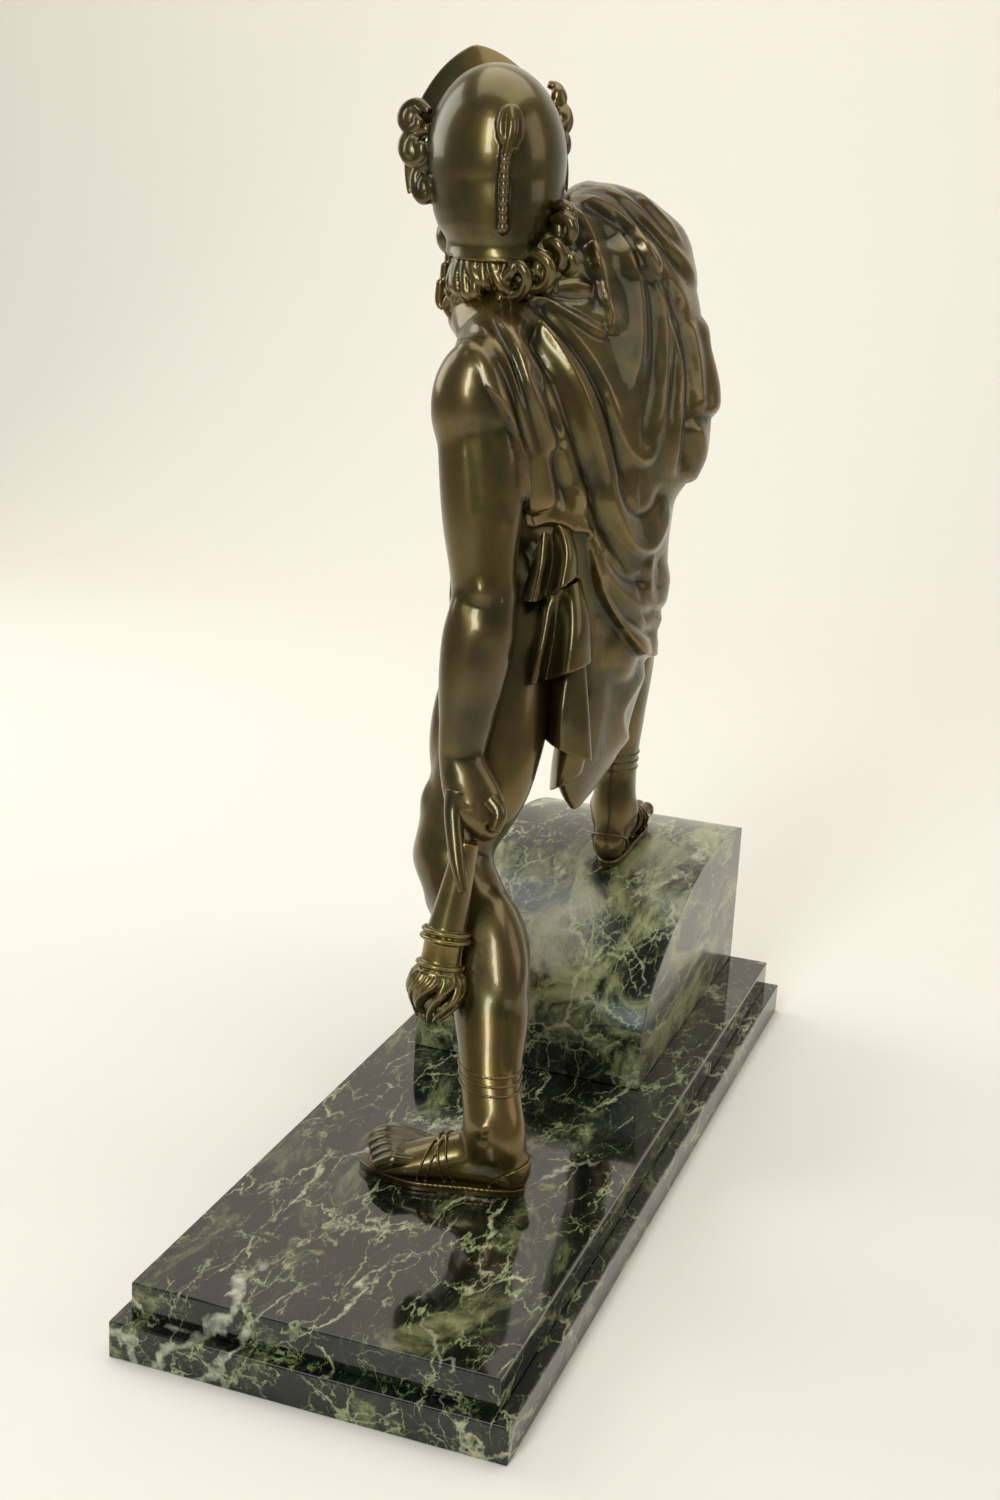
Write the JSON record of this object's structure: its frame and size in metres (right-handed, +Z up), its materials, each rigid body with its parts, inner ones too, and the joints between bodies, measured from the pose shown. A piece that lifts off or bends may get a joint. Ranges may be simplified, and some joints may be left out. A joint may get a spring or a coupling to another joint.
{
  "type": "bronze statue",
  "caption": "Striding bronze figure of a helmeted torch bearer in a cloak, one foot raised on a curved marble mound, on a stepped oblong marble plinth.",
  "frame": {"origin": "centre of the plinth's underside, on the surface it stands on", "axes": "+Z up, the figure strides towards +Y, +X to the figure's right-hand long side of the plinth"},
  "size_m": [0.21, 0.573, 0.6418],
  "materials": {
    "bronze": "polished dark olive brown patina with rubbed golden ridges",
    "marble": "polished near black verde marble with pale green veins"
  },
  "bodies": {
    "root": {"figure": "bronze", "mound_block": "marble", "upper_slab": "marble", "lower_slab": "marble"}
  },
  "joints": []
}
